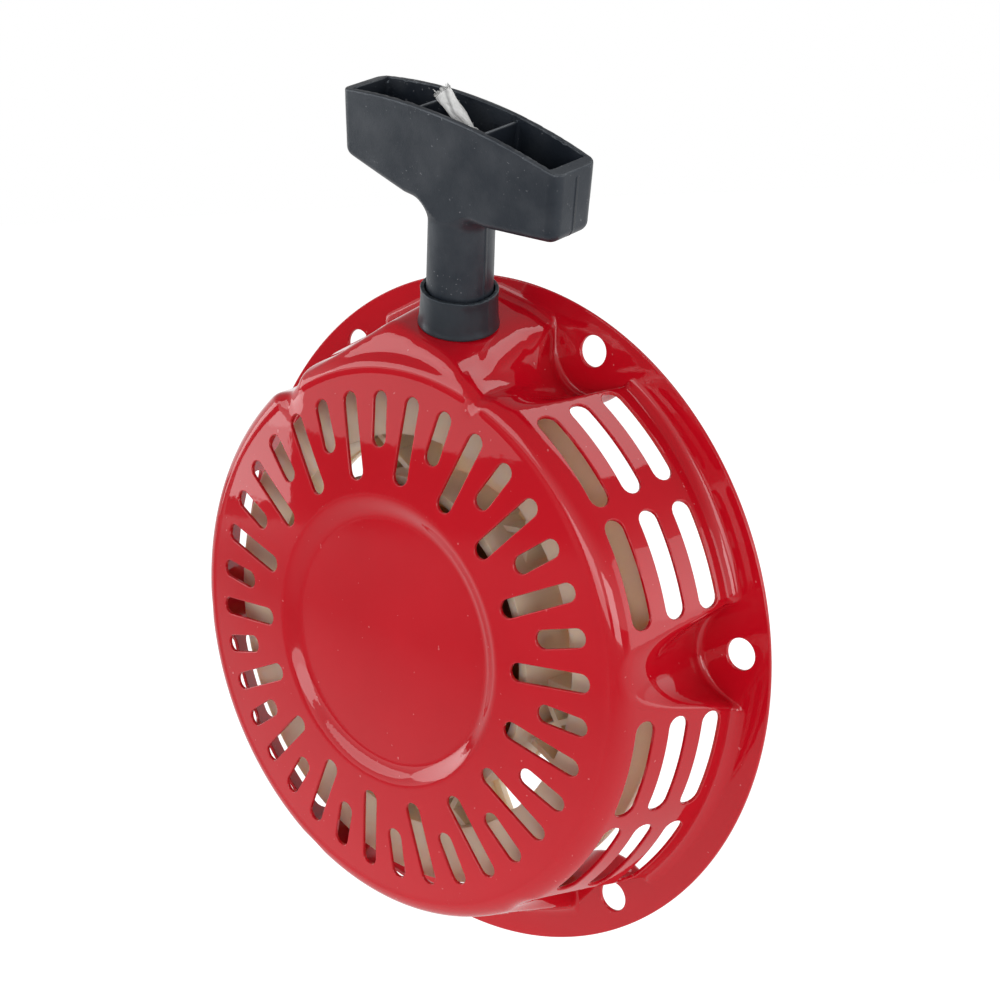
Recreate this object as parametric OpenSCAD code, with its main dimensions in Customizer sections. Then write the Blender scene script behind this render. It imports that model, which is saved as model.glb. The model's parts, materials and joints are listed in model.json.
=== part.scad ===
// Recoil starter of a small engine: a pressed sheet housing that bolts over the flywheel,
// a sprung rope reel with two pawls inside it, and a T handle on the rope.
// Origin: centre of the bolt circle, on the face that meets the engine.
// The housing's axis is Y and its closed front faces -Y. +Z is up, midway between two bolt holes.
// Azimuths are in degrees clockwise from +Z, seen from the front.

/* [Housing] */
// Outer radius of the mounting flange
flange_r = 103; // [98:0.5:110]
// Thickness of the pressed sheet
sheet = 1.2; // [0.8:0.1:1.6]
// Radius that the sloping side wall would have at the mounting face
wall_r = 93.8; // [92.5:0.1:94.5]
// Draft of the side wall
wall_draft = 15; // [12:0.5:17]
// Height of the front face at the edge of its central dish
face_h = 44.1; // [43:0.1:46]
// Radius of the central dish at the front face
dish_r = 42.5; // [38:0.5:45]
// Depth of the central dish
dish_depth = 3; // [2:0.1:3.6]
// Radius of the bend between the front face and the side wall
shoulder_r = 6.5; // [4:0.5:8]

/* [Mounting] */
// Number of mounting holes
bolt_count = 6; // [6:1:6]
// Radius of the bolt circle
bolt_circle_r = 93.65; // [93:0.05:94.5]
// Radius of each mounting hole
bolt_hole_r = 4.5; // [4:0.1:4.8]
// Radius of the pocket for the bolt's head, at the flange
pocket_r = 14; // [12:0.5:14.5]

/* [Vents] */
// Number of radial slots in the front face
vent_count = 36; // [36:2:36]
// Width of a radial slot
vent_w = 5.2; // [4:0.1:5.6]
// Outer end of every radial slot
vent_outer_r = 72.9; // [68:0.1:74]
// Inner end of a long radial slot
vent_long_r = 47.7; // [46:0.1:52]
// Inner end of a short radial slot
vent_short_r = 57.1; // [54:0.1:62]
// Azimuth of the first short slot
vent_phase = 1.5; // [0:0.5:4]
// Width of a slot in the side wall
wall_vent_w = 6; // [5:0.1:6.4]
// Length of a slot in the side wall
wall_vent_len = 30; // [26:0.5:31]
// Distance between the rows of wall slots, along the axis
wall_vent_pitch = 11.1; // [10.6:0.1:11.4]

/* [Rope] */
// Diameter of the rope
rope_d = 5; // [4:0.5:5]
// Azimuth that the handle leans to
rope_lean = 20; // [15:1:25]
// Sideways place of the rope guide, across the leaning direction
guide_side = -16; // [-18:0.5:-15]
// Height of the rope guide's seat above the mounting face
guide_h = 22.5; // [21:0.5:24]
// Distance of the rope guide's seat from the housing's axis
guide_seat = 90.6; // [89.8:0.1:91.5]

/* [Handle] */
// Length of the bar of the T handle
bar_len = 78; // [70:1:90]
// Thickness of the bar at its ends
bar_t = 15.4; // [14:0.2:18]
// Height of the bar at its ends
bar_end_h = 18.6; // [16:0.2:22]
// Rise of the crowned top edge
bar_crown = 4.4; // [2:0.2:6]
// Radius of the stem
stem_r = 9.4; // [8.8:0.1:9.5]

/* [Reel] */
// Radius of the rope drum
drum_r = 61; // [58:0.5:61]
// Radius of the front flange of the reel
front_flange_r = 75.5; // [74:0.5:76]
// Radius of the rear flange of the reel
rear_flange_r = 80; // [78:0.5:81]
// Radius of the post that the reel turns on
post_r = 8; // [7:0.5:8]
// Clearance between the post and the reel's bore
running_fit = 0.05; // [0.02:0.01:0.09]
// Number of turns of the recoil spring
spring_turns = 7; // [5:1:8]

/* [Hidden] */
$fn = 96;

// Shell
wall_slope = tan(wall_draft);
face_slope = 0.095;
dish_floor_r = dish_r - 5.5;
dish_back_h = face_h - dish_depth - sheet;
shoulder_corner = face_h + face_slope * dish_r - shoulder_r * sqrt(1 + face_slope * face_slope)
    - face_slope * (wall_r - shoulder_r / cos(wall_draft));
shoulder_h = shoulder_corner / (1 - face_slope * wall_slope);
shoulder_at = wall_r - wall_slope * shoulder_h - shoulder_r / cos(wall_draft);
pocket_taper = 5.6;
pocket_top = 42;
vent_row_h = 9.8;
vent_split = 11.5;
neck_left = -31;
neck_right = -4;
neck_top = 39.5;
neck_shoulder = 33.5;
neck_slope = 17;
guide_neck_r = 8.5;

// Rope guide and handle: heights along the rope, above the guide's seat
guide_rim = 11.5;
guide_lip = -4;
socket_floor = 5.5;
stem_foot = 6;
bar_foot = 40.4;
bar_root = 36.5;
pocket_floor = 46;
knot_floor = 50;
pocket_wall = 1.6;
rib_at = 12;
rope_bore_r = rope_d / 2 + 0.3;
washer_t = 1;
knot_r = 4.8;

// Post, screw and anchor: heights above the mounting face
post_back = 6.3;
spigot_r = 5;
spigot_back = 4.2;
screw_r = 3;
anchor_pin_r = 1.3;
anchor_pin_at = 13.2;

// Reel
reel_back = 17;
reel_front = 31;
reel_skin = 2;
cup_r = 46;
cup_wall_r = 48.5;
cup_floor_back = 26;
cup_floor_front = 28;
cup_front = 38;
hub_r = 10.5;
hub_back = 11;
window_at = 141.5;
window_span = 30;
rib_pairs = 6;
rib_first = 40;
rib_gap = 23;
knot_azimuth = 202.5;

// Pawls and ratchet guide
pawl_pivot_r = 24;
pawl_pin_r = 2.5;
pawl_back = 6.6;
pawl_front = 11.6;
boss_r = 5.5;
boss_back = 12;
pin_front = 20;
drive_pin = [12, 22.7];
drive_pin_out = [20.3, 22.3];
drive_pin_r = 1.75;
plate_back = 4.4;
plate_front = 6;
plate_r = 33.5;

// Springs
spring_inner_r = 15;
spring_outer_r = 44.5;
spring_t = 0.7;
spring_back = 29;
spring_front = 37;
wire_r = 0.6;

// Route of the rope from the reel to the guide: across the lean, along the lean, above the mounting face
lead_route = [[-50, 55, 24], [-39, 65, 23.6], [-28, 75, 22.8], [-20.5, 81.6, 22], [-17, 85, 21.2]];
// Route of the rope's tail, from the knot: along the bar, across it, along the rope
tail_route = [[1, 0.5, 56], [0.5, 1, 58.5], [-1, 1, 61], [-3.5, 1.2, 63.5], [-6.5, 1.5, 66]];

function polar(a, r) = [r * sin(a), r * cos(a)];
function lean_point(t, n) = [t * cos(rope_lean) + n * sin(rope_lean), n * cos(rope_lean) - t * sin(rope_lean)];
function wall_at(h) = wall_r - wall_slope * h;
function seat_at(h) = guide_seat + wall_slope * (guide_h - h);
function arc(cx, cy, r, a0, a1, n) =
    [for (i = [0:n]) let (a = a0 + (a1 - a0) * i / n) [cx + r * cos(a), cy + r * sin(a)]];
function unit(v) = v / norm(v);

// The frame of the housing's axis: Z towards the closed front, Y up
module on_axis() {
    rotate([90, 0, 0])
        children();
}
// Turns what lies along +Y of the axis frame to an azimuth
module at_azimuth(a) {
    rotate([0, 0, -a])
        children();
}
// A flat shape of the axis frame, filled between two heights
module between(h0, h1) {
    translate([0, 0, h0])
        linear_extrude(h1 - h0)
            children();
}
// The frame of the rope guide: Z along the rope, outwards, and X along the handle's bar
module at_guide() {
    rotate([0, rope_lean, 0])
        translate([guide_side, -guide_h, guide_seat])
            rotate([wall_draft, 0, 0])
                children();
}
module annulus(r0, r1) {
    difference() {
        circle(r1);
        circle(r0);
    }
}
// A slot along X with round ends, centred
module round_slot(len, w) {
    square([len - w, w], center = true);
    for (s = [-1, 1])
        translate([s * (len - w) / 2, 0])
            circle(w / 2);
}
// A closed skin over rings of points, each with the same number of points
module loft(rings) {
    n = len(rings);
    m = len(rings[0]);
    walls = [for (i = [0:n - 2]) for (k = [0:m - 1])
        let (j = (k + 1) % m)
        each [[i * m + k, (i + 1) * m + k, (i + 1) * m + j], [i * m + k, (i + 1) * m + j, i * m + j]]];
    foot = [for (k = [1:m - 2]) [0, k, k + 1]];
    lid = [for (k = [1:m - 2]) [(n - 1) * m, (n - 1) * m + k + 1, (n - 1) * m + k]];
    polyhedron([for (r = rings) each r], concat(walls, foot, lid));
}
// A round tube along points, with a flat cap at each end
module tube(points, r, sides = 8) {
    n = len(points);
    dirs = [for (i = [0:n - 1]) unit(points[min(i + 1, n - 1)] - points[max(i - 1, 0)])];
    sideways = [for (d = dirs) unit(cross(d, [0.31, 0.87, 0.39]))];
    loft([for (i = [0:n - 1]) [for (k = [0:sides - 1])
        points[i] + r * (cos(360 * k / sides) * sideways[i] + sin(360 * k / sides) * cross(sideways[i], dirs[i]))]]);
}
// A coil of wire about Z
module wire_coil(coil_r, r, h0, h1, turns) {
    steps = 12 * turns;
    tube([for (i = [0:steps]) let (a = 360 * turns * i / steps)
        [coil_r * cos(a), coil_r * sin(a), h0 + (h1 - h0) * i / steps]], r);
}

// Half section of the shell's solid form, drawn in by a skin
module shell_section(skin) {
    foot = wall_at(-skin) - skin / cos(wall_draft);
    polygon(concat(
        [[0, -skin], [foot, -skin]],
        arc(shoulder_at, shoulder_h, shoulder_r - skin, wall_draft, 84, 5),
        [
            [dish_r, face_h - skin],
            [dish_floor_r, face_h - dish_depth - skin],
            [0, face_h - dish_depth - skin]
        ]
    ));
}
// Everything below a plane that leans to an azimuth and passes a point at a distance and a height
module below_slope(azimuth, tilt, s, h, skin) {
    at_azimuth(azimuth)
        translate([0, s, h])
            rotate([-tilt, 0, 0])
                translate([-100, -150, -100 - skin])
                    cube([200, 200, 100]);
}
// The raised neck under the rope guide: a flat seat with a long ramp on its left and a short flank on its right,
// a gentle slope up from the front face, and a steeper facet below the guide
module neck(skin) {
    function section(h) = let (
        left = lean_point(neck_left + skin / 2, seat_at(h) - skin / cos(wall_draft)),
        right = lean_point(neck_right - skin / 2, seat_at(h) - skin / cos(wall_draft)),
        foot_left = polar(-26, 0.985 * wall_at(h) - skin),
        foot_right = polar(28, 0.965 * wall_at(h) - skin)
    ) [for (p = [[0, 60], foot_right, right, left, foot_left]) [p[0], p[1], h]];
    intersection() {
        loft([section(-skin), section(neck_top - skin)]);
        below_slope(2, neck_slope, 93.8, neck_shoulder, skin);
    }
}
// Tapered pockets that make room for the heads of the bolts
module bolt_pockets(skin) {
    foot = skin > 0 ? -2 * skin : sheet;
    for (k = [0:bolt_count - 1])
        at_azimuth(30 + 360 * k / bolt_count)
            translate([0, bolt_circle_r, foot])
                cylinder(h = pocket_top - foot, r1 = pocket_r + skin, r2 = pocket_r - pocket_taper + skin);
}
module shell_form(skin) {
    difference() {
        union() {
            rotate_extrude()
                shell_section(skin);
            neck(skin);
        }
        bolt_pockets(skin);
    }
}
module front_vents() {
    for (k = [0:vent_count - 1]) {
        inner_r = k % 2 == 0 ? vent_short_r : vent_long_r;
        at_azimuth(vent_phase + 360 * k / vent_count)
            translate([0, (vent_outer_r + inner_r) / 2])
                rotate(90)
                    round_slot(vent_outer_r - inner_r, vent_w);
    }
}
module wall_vents() {
    for (sector = [60:60:300])
        for (side = [-1, 1])
            for (row = [0:2])
                at_azimuth(sector + side * vent_split)
                    translate([0, wall_r - 30, vent_row_h + row * wall_vent_pitch])
                        rotate([-90, 0, 0])
                            linear_extrude(40)
                                round_slot(wall_vent_len, wall_vent_w);
}
module bolt_holes() {
    for (k = [0:bolt_count - 1])
        at_azimuth(30 + 360 * k / bolt_count)
            translate([0, bolt_circle_r, -1])
                cylinder(h = sheet + 2, r = bolt_hole_r);
}
module housing_shell() {
    color("firebrick")
        difference() {
            on_axis()
                difference() {
                    union() {
                        cylinder(h = sheet, r = flange_r);
                        shell_form(0);
                    }
                    shell_form(sheet);
                    between(face_h - 10, face_h + 5)
                        front_vents();
                    wall_vents();
                    bolt_holes();
                }
            at_guide()
                translate([0, 0, -8])
                    cylinder(h = 16, r = guide_neck_r + 0.1);
        }
}

module centre_post() {
    color("gainsboro")
        on_axis()
            difference() {
                union() {
                    between(post_back, dish_back_h)
                        circle(post_r);
                    between(dish_back_h - 1.5, dish_back_h)
                        circle(hub_r);
                    between(spigot_back, post_back)
                        circle(spigot_r);
                }
                between(spigot_back - 1, spigot_back + 16)
                    circle(screw_r);
            }
}
module spring_anchor_pin() {
    color("silver")
        on_axis()
            at_azimuth(0)
                translate([0, anchor_pin_at])
                    between(spring_back, dish_back_h)
                        circle(anchor_pin_r);
}
module centre_screw() {
    color("silver")
        on_axis() {
            between(spigot_back, spigot_back + 14)
                circle(screw_r - 0.05);
            between(spigot_back - 1.2, spigot_back)
                circle(8);
            translate([0, 0, 0.8])
                cylinder(h = spigot_back - 2, r = 5.2, $fn = 6);
        }
}
// Black bush that the rope leaves through, with a socket for the foot of the handle's stem
module rope_guide() {
    color("#23272b")
        at_guide()
            rotate_extrude()
                polygon([
                    [rope_d / 2 + 0.7, -2], [rope_d / 2 + 3.5, guide_lip], [10.4, guide_lip],
                    [10.4, -1.5], [guide_neck_r, -1.5], [guide_neck_r, 0], [11.7, 0], [11.4, 1.5],
                    [10.9, guide_rim - 0.6], [10.6, guide_rim], [10, guide_rim], [9.8, guide_rim - 0.3],
                    [9.8, socket_floor], [rope_d / 2 + 0.7, socket_floor]
                ]);
}
module rope_lead() {
    route = [for (p = lead_route) let (q = lean_point(p[0], p[1])) [q[0], -p[2], q[1]]];
    function on_rope(z) = let (
        n = guide_seat + z * cos(wall_draft),
        q = lean_point(guide_side, n)
    ) [q[0], -guide_h - z * sin(wall_draft), q[1]];
    color("lightgray")
        tube(concat(route, [on_rope(-3), on_rope(0), on_rope(3)]), rope_d / 2, 10);
}

// The reel: sprung cup in front, pawl recess behind, rope drum and its two flanges around them
module reel_body() {
    between(hub_back, cup_front)
        annulus(post_r + running_fit, hub_r);
    between(cup_floor_back, cup_floor_front)
        annulus(post_r + running_fit, cup_r + 1);
    between(reel_back, cup_front)
        annulus(cup_r, cup_wall_r);
    between(reel_back, reel_front)
        annulus(drum_r - reel_skin, drum_r);
    between(reel_front - reel_skin, reel_front)
        annulus(drum_r - reel_skin, front_flange_r);
    between(reel_back, reel_back + reel_skin)
        annulus(cup_r, rear_flange_r);
    for (s = [0, 180])
        at_azimuth(s)
            translate([0, pawl_pivot_r])
                between(boss_back, cup_floor_back + 1)
                    circle(boss_r);
    for (k = [0:3])
        at_azimuth(45 + 90 * k)
            between(20, cup_floor_back + 1)
                translate([-1, hub_r - 1])
                    square([2, cup_r - hub_r + 2]);
}
// Pairs of radial ribs, each pair with two ribs crossed between them
module reel_ribs() {
    for (k = [0:rib_pairs - 1])
        for (side = [0, 1])
            at_azimuth(rib_first + side * rib_gap + 360 * k / rib_pairs)
                mirror([side, 0, 0])
                    between(reel_back + 1, reel_front - 3) {
                        translate([-0.9, cup_wall_r - 1])
                            square([1.8, drum_r - cup_wall_r]);
                        translate(polar(3, cup_wall_r - 0.6))
                            rotate(-53)
                                square([1.6, 16.5]);
                    }
}
module rope_reel() {
    color("wheat")
        on_axis()
            difference() {
                union() {
                    reel_body();
                    reel_ribs();
                }
                for (turn = [0, 180])
                    at_azimuth(window_at + turn)
                        between(reel_back - 1, reel_back + reel_skin)
                            intersection() {
                                annulus(cup_wall_r + 0.6, drum_r - reel_skin - 0.6);
                                polygon([[0, 0], polar(-window_span / 2, 80), polar(window_span / 2, 80)]);
                            }
                for (s = [0, 180])
                    at_azimuth(s)
                        translate([0, pawl_pivot_r])
                            between(boss_back - 1, pin_front + 1)
                                circle(pawl_pin_r + running_fit);
                at_azimuth(knot_azimuth)
                    translate([0, drum_r - 8, (reel_back + reel_front) / 2])
                        rotate([-90, 0, 0])
                            cylinder(h = 12, r = rope_bore_r);
            }
}
// Flat spiral of spring steel, hooked round the anchor pin at its inner end
module recoil_spring() {
    steps = 16 * spring_turns;
    function spiral(i, side) = let (r = spring_inner_r + (spring_outer_r - spring_inner_r) * i / steps)
        polar(360 * spring_turns * i / steps, r + side * spring_t / 2);
    color("dimgray")
        on_axis()
            between(spring_back, spring_front)
                union() {
                    polygon(concat(
                        [for (i = [0:steps]) spiral(i, 1)],
                        [for (i = [steps:-1:0]) spiral(i, -1)]
                    ));
                    translate([0, anchor_pin_at])
                        annulus(anchor_pin_r + 0.4, anchor_pin_r + 1.2);
                }
}
module rope_coil() {
    color("lightgray")
        on_axis()
            between(reel_back + reel_skin + 0.2, reel_front - reel_skin - 0.2)
                annulus(drum_r + 0.1, drum_r + 2 * rope_d);
}
// Stopper knot at the rope's inner end, inside the drum
module reel_knot() {
    color("lightgray")
        on_axis()
            at_azimuth(knot_azimuth)
                translate([0, drum_r - 7, (reel_back + reel_front) / 2]) {
                    sphere(4, $fn = 32);
                    rotate([-90, 0, 0])
                        cylinder(h = 6.8, r = rope_d / 2);
                }
}
module pawl_spring(turn) {
    color("silver")
        on_axis()
            at_azimuth(turn)
                translate([0, pawl_pivot_r])
                    wire_coil(boss_r + 0.9, 0.5, boss_back + 0.8, boss_back + 4.4, 3);
}
module pawl_spring_1() {
    pawl_spring(0);
}
module pawl_spring_2() {
    pawl_spring(180);
}
// A pawl with its own pivot pin in front and its drive pin behind
module pawl(turn) {
    color("dimgray")
        on_axis()
            at_azimuth(turn) {
                between(pawl_back, pawl_front) {
                    translate([0, pawl_pivot_r])
                        circle(4.8);
                    translate([0, pawl_pivot_r])
                        polygon([[-0.5, 4.7], [12, 4.2], [24.5, -0.6], [25.4, -5.6], [12, -4.6], [-0.5, -4.7]]);
                }
                translate([0, pawl_pivot_r])
                    between(pawl_front - 1, pin_front)
                        circle(pawl_pin_r);
                translate(drive_pin)
                    between(plate_back - 0.8, pawl_back + 1)
                        circle(drive_pin_r);
            }
}
module pawl_1() {
    pawl(0);
}
module pawl_2() {
    pawl(180);
}
// Plate behind the pawls whose slots swing them out when it lags the reel
module ratchet_guide() {
    slot_mid = (drive_pin + drive_pin_out) / 2;
    slot_run = drive_pin_out - drive_pin;
    color("silver")
        on_axis()
            between(plate_back, plate_front)
                difference() {
                    circle(plate_r);
                    circle(spigot_r + 0.3);
                    for (s = [0, 180])
                        at_azimuth(s) {
                            translate(slot_mid)
                                rotate(atan2(slot_run[1], slot_run[0]))
                                    round_slot(norm(slot_run) + 5, 5);
                            translate(polar(-45, 34))
                                circle(14);
                        }
                }
}
module friction_spring() {
    color("silver")
        on_axis()
            wire_coil(post_r + 1.6, wire_r, plate_front + wire_r + 0.1, hub_back - wire_r - 0.1, 3);
}

// Side outline of the handle's bar, drawn along the bar and along the rope
module bar_outline() {
    half = bar_len / 2;
    end_top = bar_foot + bar_end_h;
    polygon(concat(
        [for (i = [-6:6]) let (x = half * i / 6) [x, end_top + bar_crown * (1 - pow(x / half, 2))]],
        [
            [half, bar_foot + 3], [half - 0.9, bar_foot + 0.9], [half - 3, bar_foot],
            [stem_r + 5, bar_root], [stem_r, bar_root - 4], [-stem_r, bar_root - 4], [-stem_r - 5, bar_root],
            [3 - half, bar_foot], [0.9 - half, bar_foot + 0.9], [-half, bar_foot + 3]
        ]
    ));
}
module handle_grip() {
    inner_t = bar_t - 2 * pocket_wall;
    color("#2b3034")
        at_guide()
            difference() {
                union() {
                    translate([0, bar_t / 2, 0])
                        rotate([90, 0, 0])
                            linear_extrude(bar_t)
                                bar_outline();
                    translate([0, 0, stem_foot])
                        cylinder(h = bar_root + 2 - stem_foot, r = stem_r);
                }
                for (s = [-1, 1])
                    translate([s > 0 ? rib_at + 0.6 : 3 - bar_len / 2, -inner_t / 2, pocket_floor])
                        cube([bar_len / 2 - rib_at - 3.6, inner_t, 30]);
                translate([0.6 - rib_at, -inner_t / 2, knot_floor])
                    cube([2 * rib_at - 1.2, inner_t, 30]);
                translate([0, 0, stem_foot - 1])
                    cylinder(h = 60, r = rope_bore_r);
            }
}
module handle_washer() {
    color("silver")
        at_guide()
            translate([0, 0, knot_floor])
                linear_extrude(washer_t)
                    annulus(rope_bore_r, 5.6);
}
module rope_in_handle() {
    color("lightgray")
        at_guide()
            translate([0, 0, 3])
                cylinder(h = knot_floor + washer_t - 3, r = rope_d / 2);
}
module handle_knot() {
    color("lightgray")
        at_guide()
            translate([0, 0, knot_floor + washer_t + knot_r])
                difference() {
                    sphere(knot_r, $fn = 32);
                    translate(-[knot_r, knot_r, 2 * knot_r + 3])
                        cube([2 * knot_r, 2 * knot_r, knot_r + 3.4]);
                }
}
module rope_tail() {
    color("lightgray")
        at_guide()
            difference() {
                tube(tail_route, 2.3);
                translate([0, 0, knot_floor + washer_t + knot_r])
                    sphere(knot_r + 0.02, $fn = 32);
            }
}

housing_shell();
centre_post();
spring_anchor_pin();
rope_guide();
centre_screw();
rope_lead();
rope_reel();
recoil_spring();
rope_coil();
reel_knot();
pawl_spring_1();
pawl_spring_2();
pawl_1();
pawl_2();
ratchet_guide();
friction_spring();
handle_grip();
handle_washer();
rope_in_handle();
handle_knot();
rope_tail();
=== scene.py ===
import json
import math

import bpy
import numpy as np
from mathutils import Matrix, Vector
from mathutils.geometry import delaunay_2d_cdt


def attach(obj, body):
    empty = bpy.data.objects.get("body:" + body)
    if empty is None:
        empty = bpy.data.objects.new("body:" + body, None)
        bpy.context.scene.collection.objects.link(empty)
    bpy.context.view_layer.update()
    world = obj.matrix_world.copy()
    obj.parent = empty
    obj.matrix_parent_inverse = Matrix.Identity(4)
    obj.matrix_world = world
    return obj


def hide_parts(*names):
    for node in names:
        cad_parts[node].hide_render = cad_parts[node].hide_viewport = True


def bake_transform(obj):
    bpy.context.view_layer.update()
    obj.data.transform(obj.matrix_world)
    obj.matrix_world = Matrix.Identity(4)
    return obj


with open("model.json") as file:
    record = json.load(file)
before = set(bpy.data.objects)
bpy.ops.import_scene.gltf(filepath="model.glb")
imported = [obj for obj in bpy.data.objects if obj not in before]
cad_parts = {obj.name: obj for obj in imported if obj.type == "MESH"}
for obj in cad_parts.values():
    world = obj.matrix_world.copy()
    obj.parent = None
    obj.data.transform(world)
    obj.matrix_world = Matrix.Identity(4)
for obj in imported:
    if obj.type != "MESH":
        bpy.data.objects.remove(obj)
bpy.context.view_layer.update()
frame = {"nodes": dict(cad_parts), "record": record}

MM = 0.001
RNG = np.random.default_rng(7)

# ---------------------------------------------------------------- camera, light and floor

# in front of the object, to its right and a little above its middle
CAMERA_AT = (0.342745, -0.380766, 0.126151)
CAMERA_RIGHT = (0.75619, 0.65276, -0.04559)
CAMERA_UP = (-0.08150, 0.16308, 0.98324)
CAMERA_BACK = (0.64926, -0.73980, 0.17653)
CAMERA_LENS, CAMERA_SENSOR = 61.734, 36.0

# brightness of the studio round the object and above it
AROUND, ABOVE = 1.2, 0.28
HORIZON, ZENITH = 0.05, 0.6  # sine of the elevation where the first ends and where the second starts

# name, place, target, width, height, watts
SOFT_BOXES = (
    ("box_front_right", (0.8, -0.85, 0.0), (0, 0, 0), 0.5, 0.5, 3.6),
    ("box_low_front", (0.1, -1.1, -0.05), (0, 0, 0), 0.5, 0.5, 2.4),
    ("strip_front_left", (-0.62, -0.95, 0.55), (0, 0, 0.06), 1.1, 0.38, 3.0),
    ("box_left", (-1.05, -0.5, 0.15), (0, 0, 0), 0.45, 0.45, 1.6),
    ("box_above_back", (0.36, 0.40, 0.90), (0.03, 0, 0.08), 0.55, 0.5, 2.0),
    ("box_right", (1.0, 0.28, 0.12), (0, 0, 0), 0.6, 0.6, 1.6),
)

FLOOR_Z = -0.1035  # half a millimetre under the flange
FLOOR_SIZE = 60.0
FLOOR_WHITE = 0.92  # what the camera sees of the floor
FLOOR_BEHIND = 0.6  # its glow behind the object, which comes up between two distances from it
FLOOR_DARK_Y, FLOOR_BRIGHT_Y = -0.35, -0.05


def add_camera():
    data = bpy.data.cameras.new("camera")
    data.lens = CAMERA_LENS
    data.sensor_width = CAMERA_SENSOR
    camera = bpy.data.objects.new("camera", data)
    bpy.context.scene.collection.objects.link(camera)
    turn = Matrix((CAMERA_RIGHT, CAMERA_UP, CAMERA_BACK)).transposed()
    camera.matrix_world = Matrix.Translation(CAMERA_AT) @ turn.to_4x4()
    bpy.context.scene.camera = camera


def add_area(name, place, target, width, height, power):
    """A soft box at one place, turned towards another."""
    data = bpy.data.lights.new(name, "AREA")
    data.energy = power
    data.shape = "RECTANGLE"
    data.size = width
    data.size_y = height
    light = bpy.data.objects.new(name, data)
    bpy.context.scene.collection.objects.link(light)
    light.location = place
    light.rotation_euler = (Vector(target) - Vector(place)).to_track_quat("-Z", "Y").to_euler()


def add_world():
    """A white studio, bright round the object and dim above it, on white paper."""
    n = Nodes(bpy.data.worlds.new("studio"))
    up = n.new("SeparateXYZ", Vector=n.coords["Generated"]).outputs["Z"]
    strength = n.ramp(up, HORIZON, ZENITH, AROUND, ABOVE)
    strength.node.interpolation_type = "SMOOTHSTEP"
    studio = n.new("Background", Color=(1, 1, 1, 1), Strength=strength)
    paper = n.new("Background", Color=(1, 1, 1, 1))
    mix = n.new("MixShader")
    seen = n.new("LightPath").outputs["Is Camera Ray"]
    for k, value in enumerate((seen, studio.outputs[0], paper.outputs[0])):
        n.put(mix, k, value)
    n.put(n.tree.nodes["World Output"], "Surface", mix.outputs[0])
    bpy.context.scene.world = n.owner


# ---------------------------------------------------------------- materials


class Nodes:
    """The node tree of a material or world, with short calls for making and linking nodes."""

    def __init__(self, owner):
        owner.use_nodes = True
        self.owner = owner
        self.tree = owner.node_tree
        self.coords = self.new("TexCoord").outputs
        self.place = self.coords["Object"]

    def new(self, kind, **inputs):
        made = self.tree.nodes.new("ShaderNode" + kind)
        for key, value in inputs.items():
            self.put(made, key.replace("_", " "), value)
        return made

    def put(self, made, key, value):
        if isinstance(value, bpy.types.NodeSocket):
            self.tree.links.new(value, made.inputs[key])
        else:
            made.inputs[key].default_value = value

    def finish(self, **inputs):
        """Sets the shader's own sockets and gives the material back."""
        for key, value in inputs.items():
            self.put(self.tree.nodes["Principled BSDF"], key.replace("_", " "), value)
        return self.owner

    def noise(self, scale, detail=3.0, rough=0.55, at=None):
        """Noise with this many cells to the metre."""
        at = self.place if at is None else at
        return self.new("TexNoise", Vector=at, Scale=scale, Detail=detail, Roughness=rough).outputs["Fac"]

    def ramp(self, fac, low, high, to_low=0.0, to_high=1.0):
        made = self.new("MapRange", Value=fac, From_Min=low, From_Max=high, To_Min=to_low, To_Max=to_high)
        return made.outputs["Result"]

    def mottle(self, scale, low=0.0, high=1.0, at=None):
        """A soft patchy variation between two values."""
        return self.ramp(self.noise(scale, at=at), 0.3, 0.7, low, high)

    def mix(self, fac, a, b):
        made = self.new("Mix")
        made.data_type = "RGBA"
        for key, value in ((0, fac), (6, a), (7, b)):
            self.put(made, key, value)
        return made.outputs[2]

    def math(self, operation, *values):
        made = self.new("Math")
        made.operation = operation
        for k, value in enumerate(values):
            self.put(made, k, value)
        return made.outputs[0]

    def times(self, a, b):
        return self.math("MULTIPLY", a, b)

    def plus(self, a, b):
        return self.math("ADD", a, b)

    def bump(self, height, strength, distance):
        return self.new("Bump", Strength=strength, Distance=distance, Height=height).outputs["Normal"]


def paint_material():
    """Glossy red enamel with a faint orange peel, specks of dust under it and a few dull scuffs."""
    n = Nodes(bpy.data.materials.new("red_paint"))
    enamel = n.mix(n.mottle(22.0), (0.48, 0.0025, 0.010, 1), (0.53, 0.004, 0.013, 1))
    dust = n.ramp(n.noise(620.0, 1.0), 0.765, 0.80)
    scuff = n.times(n.ramp(n.noise(34.0, 5.0, 0.7), 0.64, 0.74), n.ramp(n.noise(420.0, 4.0), 0.40, 0.62))
    return n.finish(
        Base_Color=n.mix(n.times(dust, 0.5), enamel, (0.70, 0.24, 0.25, 1)),
        Roughness=n.mottle(60.0, 0.42, 0.50),
        Specular_IOR_Level=0.0,
        Coat_Weight=1.0,
        Coat_IOR=1.5,
        Coat_Roughness=n.ramp(scuff, 0.0, 1.0, 0.035, 0.22),
        Normal=n.bump(n.noise(900.0, 2.0), 0.03, 0.0003),
        Coat_Normal=n.bump(n.noise(260.0, 2.0), 0.035, 0.0004),
    )


BLUISH = (0.82, 0.91, 1.0, 1)  # tint of the gloss on black plastic and rubber


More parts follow.
